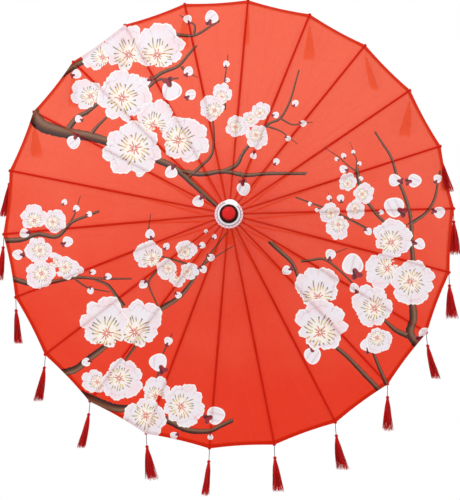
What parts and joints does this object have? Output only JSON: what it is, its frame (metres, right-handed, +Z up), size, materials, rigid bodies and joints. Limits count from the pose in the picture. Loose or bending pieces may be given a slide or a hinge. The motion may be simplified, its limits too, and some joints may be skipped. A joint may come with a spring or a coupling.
{
  "type": "oil paper umbrella",
  "caption": "Open parasol of red printed cloth on split bamboo ribs, with a wooden shaft and grip, a sliding runner that folds it, a domed finial and tassels around the rim.",
  "frame": {"origin": "middle of the hand grip, on the shaft's axis", "axes": "+Y runs along the shaft from the finial to the handle's end, and +Z is up, the way the tassels hang from"},
  "size_m": [0.8442, 0.5651, 0.9198],
  "materials": {
    "red_cloth": "thin woven cloth dyed bright red and printed with white blossom",
    "red_thread": "deep red silk thread",
    "bamboo": "split bamboo, plain",
    "shaft_wood": "varnished wood",
    "grip_wood": "dark stained and lacquered wood",
    "hub_wood": "plain turned wood",
    "dark_lacquer": "dark glossy lacquer",
    "red_lacquer": "clear glossy red",
    "white_cloth": "stiffened white cloth",
    "steel_wire": "plain wire"
  },
  "bodies": {
    "shaft_and_hub": {"shaft": "shaft_wood", "handle_grip": "grip_wood", "handle_end_cap": "dark_lacquer", "top_hub": "hub_wood", "hub_pin": "steel_wire", "hub_wire": "steel_wire", "hub_cap": "white_cloth", "finial_base": "dark_lacquer", "finial_dome": "red_lacquer", "canopy": "red_cloth", "tassel_ring": "red_thread"},
    "runner": {"runner": "hub_wood", "runner_wire": "steel_wire"},
    "catch": {"catch": "bamboo"},
    "rib_01": {"rib_01": "bamboo"},
    "stretcher_01": {"stretcher_01": "bamboo"},
    "rib_02": {"rib_02": "bamboo"},
    "stretcher_02": {"stretcher_02": "bamboo"},
    "rib_03": {"rib_03": "bamboo"},
    "stretcher_03": {"stretcher_03": "bamboo"},
    "rib_04": {"rib_04": "bamboo"},
    "stretcher_04": {"stretcher_04": "bamboo"},
    "rib_05": {"rib_05": "bamboo"},
    "stretcher_05": {"stretcher_05": "bamboo"},
    "rib_06": {"rib_06": "bamboo"},
    "stretcher_06": {"stretcher_06": "bamboo"},
    "rib_07": {"rib_07": "bamboo"},
    "stretcher_07": {"stretcher_07": "bamboo"},
    "rib_08": {"rib_08": "bamboo"},
    "stretcher_08": {"stretcher_08": "bamboo"},
    "rib_09": {"rib_09": "bamboo"},
    "stretcher_09": {"stretcher_09": "bamboo"},
    "rib_10": {"rib_10": "bamboo"},
    "stretcher_10": {"stretcher_10": "bamboo"},
    "rib_11": {"rib_11": "bamboo"},
    "stretcher_11": {"stretcher_11": "bamboo"},
    "rib_12": {"rib_12": "bamboo"},
    "stretcher_12": {"stretcher_12": "bamboo"},
    "rib_13": {"rib_13": "bamboo"},
    "stretcher_13": {"stretcher_13": "bamboo"},
    "rib_14": {"rib_14": "bamboo"},
    "stretcher_14": {"stretcher_14": "bamboo"},
    "rib_15": {"rib_15": "bamboo"},
    "stretcher_15": {"stretcher_15": "bamboo"},
    "rib_16": {"rib_16": "bamboo"},
    "stretcher_16": {"stretcher_16": "bamboo"},
    "rib_17": {"rib_17": "bamboo"},
    "stretcher_17": {"stretcher_17": "bamboo"},
    "rib_18": {"rib_18": "bamboo"},
    "stretcher_18": {"stretcher_18": "bamboo"},
    "rib_19": {"rib_19": "bamboo"},
    "stretcher_19": {"stretcher_19": "bamboo"},
    "rib_20": {"rib_20": "bamboo"},
    "stretcher_20": {"stretcher_20": "bamboo"},
    "rib_21": {"rib_21": "bamboo"},
    "stretcher_21": {"stretcher_21": "bamboo"},
    "rib_22": {"rib_22": "bamboo"},
    "stretcher_22": {"stretcher_22": "bamboo"}
  },
  "joints": [
    {"name": "runner_slide", "type": "slide", "parent": "shaft_and_hub", "child": "runner", "axis": [0, 1, 0], "range_m": [0, 0.2623], "deforming": ["canopy", "tassel_ring"]},
    {"name": "catch_press", "type": "hinge", "parent": "shaft_and_hub", "child": "catch", "pos_m": [0, -0.31207, 0.004], "axis": [1, 0, 0], "range_deg": [0, 6], "stiffness_Nm_per_rad": 0.05},
    {"name": "rib_01_hinge", "type": "hinge", "parent": "shaft_and_hub", "child": "rib_01", "pos_m": [0.0012, -0.4875, 0.01395], "axis": [-0.9963, 0, 0.0854], "range_deg": [0, 70]},
    {"name": "stretcher_01_hinge", "type": "hinge", "parent": "rib_01", "child": "stretcher_01", "pos_m": [0.01663, -0.42879, 0.19399], "axis": [0.9963, 0, -0.0854], "range_deg": [0, 140]},
    {"name": "rib_02_hinge", "type": "hinge", "parent": "shaft_and_hub", "child": "rib_02", "pos_m": [0.00508, -0.4875, 0.01305], "axis": [-0.9319, 0, 0.3627], "range_deg": [0, 70]},
    {"name": "stretcher_02_hinge", "type": "hinge", "parent": "rib_02", "child": "stretcher_02", "pos_m": [0.07061, -0.42879, 0.18145], "axis": [0.9319, 0, -0.3627], "range_deg": [0, 140]},
    {"name": "rib_03_hinge", "type": "hinge", "parent": "shaft_and_hub", "child": "rib_03", "pos_m": [0.00855, -0.4875, 0.01109], "axis": [-0.792, 0, 0.6105], "range_deg": [0, 70]},
    {"name": "stretcher_03_hinge", "type": "hinge", "parent": "rib_03", "child": "stretcher_03", "pos_m": [0.11887, -0.42879, 0.1542], "axis": [0.792, 0, -0.6105], "range_deg": [0, 140]},
    {"name": "rib_04_hinge", "type": "hinge", "parent": "shaft_and_hub", "child": "rib_04", "pos_m": [0.01132, -0.4875, 0.00823], "axis": [-0.5879, 0, 0.8089], "range_deg": [0, 70]},
    {"name": "stretcher_04_hinge", "type": "hinge", "parent": "rib_04", "child": "stretcher_04", "pos_m": [0.1575, -0.42879, 0.11447], "axis": [0.5879, 0, -0.8089], "range_deg": [0, 140]},
    {"name": "rib_05_hinge", "type": "hinge", "parent": "shaft_and_hub", "child": "rib_05", "pos_m": [0.01319, -0.4875, 0.00471], "axis": [-0.3362, 0, 0.9418], "range_deg": [0, 70]},
    {"name": "stretcher_05_hinge", "type": "hinge", "parent": "rib_05", "child": "stretcher_05", "pos_m": [0.18337, -0.42879, 0.06546], "axis": [0.3362, 0, -0.9418], "range_deg": [0, 140]},
    {"name": "rib_06_hinge", "type": "hinge", "parent": "shaft_and_hub", "child": "rib_06", "pos_m": [0.01398, -0.4875, 0.0008], "axis": [-0.0572, 0, 0.9984], "range_deg": [0, 70]},
    {"name": "stretcher_06_hinge", "type": "hinge", "parent": "rib_06", "child": "stretcher_06", "pos_m": [0.19438, -0.42879, 0.01115], "axis": [0.0572, 0, -0.9984], "range_deg": [0, 140]},
    {"name": "rib_07_hinge", "type": "hinge", "parent": "shaft_and_hub", "child": "rib_07", "pos_m": [0.01364, -0.4875, -0.00317], "axis": [0.2263, 0, 0.974], "range_deg": [0, 70]},
    {"name": "stretcher_07_hinge", "type": "hinge", "parent": "rib_07", "child": "stretcher_07", "pos_m": [0.18965, -0.42879, -0.04407], "axis": [-0.2263, 0, -0.974], "range_deg": [0, 140]},
    {"name": "rib_08_hinge", "type": "hinge", "parent": "shaft_and_hub", "child": "rib_08", "pos_m": [0.01219, -0.4875, -0.00688], "axis": [0.4916, 0, 0.8708], "range_deg": [0, 70]},
    {"name": "stretcher_08_hinge", "type": "hinge", "parent": "rib_08", "child": "stretcher_08", "pos_m": [0.16955, -0.42879, -0.09571], "axis": [-0.4916, 0, -0.8708], "range_deg": [0, 140]},
    {"name": "rib_09_hinge", "type": "hinge", "parent": "shaft_and_hub", "child": "rib_09", "pos_m": [0.00976, -0.4875, -0.01004], "axis": [0.717, 0, 0.6971], "range_deg": [0, 70]},
    {"name": "stretcher_09_hinge", "type": "hinge", "parent": "rib_09", "child": "stretcher_09", "pos_m": [0.13572, -0.42879, -0.13961], "axis": [-0.717, 0, -0.6971], "range_deg": [0, 140]},
    {"name": "rib_10_hinge", "type": "hinge", "parent": "shaft_and_hub", "child": "rib_10", "pos_m": [0.00654, -0.4875, -0.01238], "axis": [0.8844, 0, 0.4668], "range_deg": [0, 70]},
    {"name": "stretcher_10_hinge", "type": "hinge", "parent": "rib_10", "child": "stretcher_10", "pos_m": [0.09089, -0.42879, -0.17219], "axis": [-0.8844, 0, -0.4668], "range_deg": [0, 140]},
    {"name": "rib_11_hinge", "type": "hinge", "parent": "shaft_and_hub", "child": "rib_11", "pos_m": [0.00278, -0.4875, -0.01372], "axis": [0.9801, 0, 0.1987], "range_deg": [0, 70]},
    {"name": "stretcher_11_hinge", "type": "hinge", "parent": "rib_11", "child": "stretcher_11", "pos_m": [0.0387, -0.42879, -0.19082], "axis": [-0.9801, 0, -0.1987], "range_deg": [0, 140]},
    {"name": "rib_12_hinge", "type": "hinge", "parent": "shaft_and_hub", "child": "rib_12", "pos_m": [-0.0012, -0.4875, -0.01395], "axis": [0.9963, 0, -0.0854], "range_deg": [0, 70]},
    {"name": "stretcher_12_hinge", "type": "hinge", "parent": "rib_12", "child": "stretcher_12", "pos_m": [-0.01663, -0.42879, -0.19399], "axis": [-0.9963, 0, 0.0854], "range_deg": [0, 140]},
    {"name": "rib_13_hinge", "type": "hinge", "parent": "shaft_and_hub", "child": "rib_13", "pos_m": [-0.00508, -0.4875, -0.01305], "axis": [0.9319, 0, -0.3627], "range_deg": [0, 70]},
    {"name": "stretcher_13_hinge", "type": "hinge", "parent": "rib_13", "child": "stretcher_13", "pos_m": [-0.07061, -0.42879, -0.18145], "axis": [-0.9319, 0, 0.3627], "range_deg": [0, 140]},
    {"name": "rib_14_hinge", "type": "hinge", "parent": "shaft_and_hub", "child": "rib_14", "pos_m": [-0.00855, -0.4875, -0.01109], "axis": [0.792, 0, -0.6105], "range_deg": [0, 70]},
    {"name": "stretcher_14_hinge", "type": "hinge", "parent": "rib_14", "child": "stretcher_14", "pos_m": [-0.11887, -0.42879, -0.1542], "axis": [-0.792, 0, 0.6105], "range_deg": [0, 140]},
    {"name": "rib_15_hinge", "type": "hinge", "parent": "shaft_and_hub", "child": "rib_15", "pos_m": [-0.01132, -0.4875, -0.00823], "axis": [0.5879, 0, -0.8089], "range_deg": [0, 70]},
    {"name": "stretcher_15_hinge", "type": "hinge", "parent": "rib_15", "child": "stretcher_15", "pos_m": [-0.1575, -0.42879, -0.11447], "axis": [-0.5879, 0, 0.8089], "range_deg": [0, 140]},
    {"name": "rib_16_hinge", "type": "hinge", "parent": "shaft_and_hub", "child": "rib_16", "pos_m": [-0.01319, -0.4875, -0.00471], "axis": [0.3362, 0, -0.9418], "range_deg": [0, 70]},
    {"name": "stretcher_16_hinge", "type": "hinge", "parent": "rib_16", "child": "stretcher_16", "pos_m": [-0.18337, -0.42879, -0.06546], "axis": [-0.3362, 0, 0.9418], "range_deg": [0, 140]},
    {"name": "rib_17_hinge", "type": "hinge", "parent": "shaft_and_hub", "child": "rib_17", "pos_m": [-0.01398, -0.4875, -0.0008], "axis": [0.0572, 0, -0.9984], "range_deg": [0, 70]},
    {"name": "stretcher_17_hinge", "type": "hinge", "parent": "rib_17", "child": "stretcher_17", "pos_m": [-0.19438, -0.42879, -0.01115], "axis": [-0.0572, 0, 0.9984], "range_deg": [0, 140]},
    {"name": "rib_18_hinge", "type": "hinge", "parent": "shaft_and_hub", "child": "rib_18", "pos_m": [-0.01364, -0.4875, 0.00317], "axis": [-0.2263, 0, -0.974], "range_deg": [0, 70]},
    {"name": "stretcher_18_hinge", "type": "hinge", "parent": "rib_18", "child": "stretcher_18", "pos_m": [-0.18965, -0.42879, 0.04407], "axis": [0.2263, 0, 0.974], "range_deg": [0, 140]},
    {"name": "rib_19_hinge", "type": "hinge", "parent": "shaft_and_hub", "child": "rib_19", "pos_m": [-0.01219, -0.4875, 0.00688], "axis": [-0.4916, 0, -0.8708], "range_deg": [0, 70]},
    {"name": "stretcher_19_hinge", "type": "hinge", "parent": "rib_19", "child": "stretcher_19", "pos_m": [-0.16955, -0.42879, 0.09571], "axis": [0.4916, 0, 0.8708], "range_deg": [0, 140]},
    {"name": "rib_20_hinge", "type": "hinge", "parent": "shaft_and_hub", "child": "rib_20", "pos_m": [-0.00976, -0.4875, 0.01004], "axis": [-0.717, 0, -0.6971], "range_deg": [0, 70]},
    {"name": "stretcher_20_hinge", "type": "hinge", "parent": "rib_20", "child": "stretcher_20", "pos_m": [-0.13572, -0.42879, 0.13961], "axis": [0.717, 0, 0.6971], "range_deg": [0, 140]},
    {"name": "rib_21_hinge", "type": "hinge", "parent": "shaft_and_hub", "child": "rib_21", "pos_m": [-0.00654, -0.4875, 0.01238], "axis": [-0.8844, 0, -0.4668], "range_deg": [0, 70]},
    {"name": "stretcher_21_hinge", "type": "hinge", "parent": "rib_21", "child": "stretcher_21", "pos_m": [-0.09089, -0.42879, 0.17219], "axis": [0.8844, 0, 0.4668], "range_deg": [0, 140]},
    {"name": "rib_22_hinge", "type": "hinge", "parent": "shaft_and_hub", "child": "rib_22", "pos_m": [-0.00278, -0.4875, 0.01372], "axis": [-0.9801, 0, -0.1987], "range_deg": [0, 70]},
    {"name": "stretcher_22_hinge", "type": "hinge", "parent": "rib_22", "child": "stretcher_22", "pos_m": [-0.0387, -0.42879, 0.19082], "axis": [0.9801, 0, 0.1987], "range_deg": [0, 140]}
  ],
  "couplings": [
    {"joint": "rib_01_hinge", "follows": "runner_slide", "rad_per_m": 4.6577},
    {"joint": "stretcher_01_hinge", "follows": "runner_slide", "rad_per_m": 9.3154},
    {"joint": "rib_02_hinge", "follows": "runner_slide", "rad_per_m": 4.6577},
    {"joint": "stretcher_02_hinge", "follows": "runner_slide", "rad_per_m": 9.3154},
    {"joint": "rib_03_hinge", "follows": "runner_slide", "rad_per_m": 4.6577},
    {"joint": "stretcher_03_hinge", "follows": "runner_slide", "rad_per_m": 9.3154},
    {"joint": "rib_04_hinge", "follows": "runner_slide", "rad_per_m": 4.6577},
    {"joint": "stretcher_04_hinge", "follows": "runner_slide", "rad_per_m": 9.3154},
    {"joint": "rib_05_hinge", "follows": "runner_slide", "rad_per_m": 4.6577},
    {"joint": "stretcher_05_hinge", "follows": "runner_slide", "rad_per_m": 9.3154},
    {"joint": "rib_06_hinge", "follows": "runner_slide", "rad_per_m": 4.6577},
    {"joint": "stretcher_06_hinge", "follows": "runner_slide", "rad_per_m": 9.3154},
    {"joint": "rib_07_hinge", "follows": "runner_slide", "rad_per_m": 4.6577},
    {"joint": "stretcher_07_hinge", "follows": "runner_slide", "rad_per_m": 9.3154},
    {"joint": "rib_08_hinge", "follows": "runner_slide", "rad_per_m": 4.6577},
    {"joint": "stretcher_08_hinge", "follows": "runner_slide", "rad_per_m": 9.3154},
    {"joint": "rib_09_hinge", "follows": "runner_slide", "rad_per_m": 4.6577},
    {"joint": "stretcher_09_hinge", "follows": "runner_slide", "rad_per_m": 9.3154},
    {"joint": "rib_10_hinge", "follows": "runner_slide", "rad_per_m": 4.6577},
    {"joint": "stretcher_10_hinge", "follows": "runner_slide", "rad_per_m": 9.3154},
    {"joint": "rib_11_hinge", "follows": "runner_slide", "rad_per_m": 4.6577},
    {"joint": "stretcher_11_hinge", "follows": "runner_slide", "rad_per_m": 9.3154},
    {"joint": "rib_12_hinge", "follows": "runner_slide", "rad_per_m": 4.6577},
    {"joint": "stretcher_12_hinge", "follows": "runner_slide", "rad_per_m": 9.3154},
    {"joint": "rib_13_hinge", "follows": "runner_slide", "rad_per_m": 4.6577},
    {"joint": "stretcher_13_hinge", "follows": "runner_slide", "rad_per_m": 9.3154},
    {"joint": "rib_14_hinge", "follows": "runner_slide", "rad_per_m": 4.6577},
    {"joint": "stretcher_14_hinge", "follows": "runner_slide", "rad_per_m": 9.3154},
    {"joint": "rib_15_hinge", "follows": "runner_slide", "rad_per_m": 4.6577},
    {"joint": "stretcher_15_hinge", "follows": "runner_slide", "rad_per_m": 9.3154},
    {"joint": "rib_16_hinge", "follows": "runner_slide", "rad_per_m": 4.6577},
    {"joint": "stretcher_16_hinge", "follows": "runner_slide", "rad_per_m": 9.3154},
    {"joint": "rib_17_hinge", "follows": "runner_slide", "rad_per_m": 4.6577},
    {"joint": "stretcher_17_hinge", "follows": "runner_slide", "rad_per_m": 9.3154},
    {"joint": "rib_18_hinge", "follows": "runner_slide", "rad_per_m": 4.6577},
    {"joint": "stretcher_18_hinge", "follows": "runner_slide", "rad_per_m": 9.3154},
    {"joint": "rib_19_hinge", "follows": "runner_slide", "rad_per_m": 4.6577},
    {"joint": "stretcher_19_hinge", "follows": "runner_slide", "rad_per_m": 9.3154},
    {"joint": "rib_20_hinge", "follows": "runner_slide", "rad_per_m": 4.6577},
    {"joint": "stretcher_20_hinge", "follows": "runner_slide", "rad_per_m": 9.3154},
    {"joint": "rib_21_hinge", "follows": "runner_slide", "rad_per_m": 4.6577},
    {"joint": "stretcher_21_hinge", "follows": "runner_slide", "rad_per_m": 9.3154},
    {"joint": "rib_22_hinge", "follows": "runner_slide", "rad_per_m": 4.6577},
    {"joint": "stretcher_22_hinge", "follows": "runner_slide", "rad_per_m": 9.3154}
  ]
}
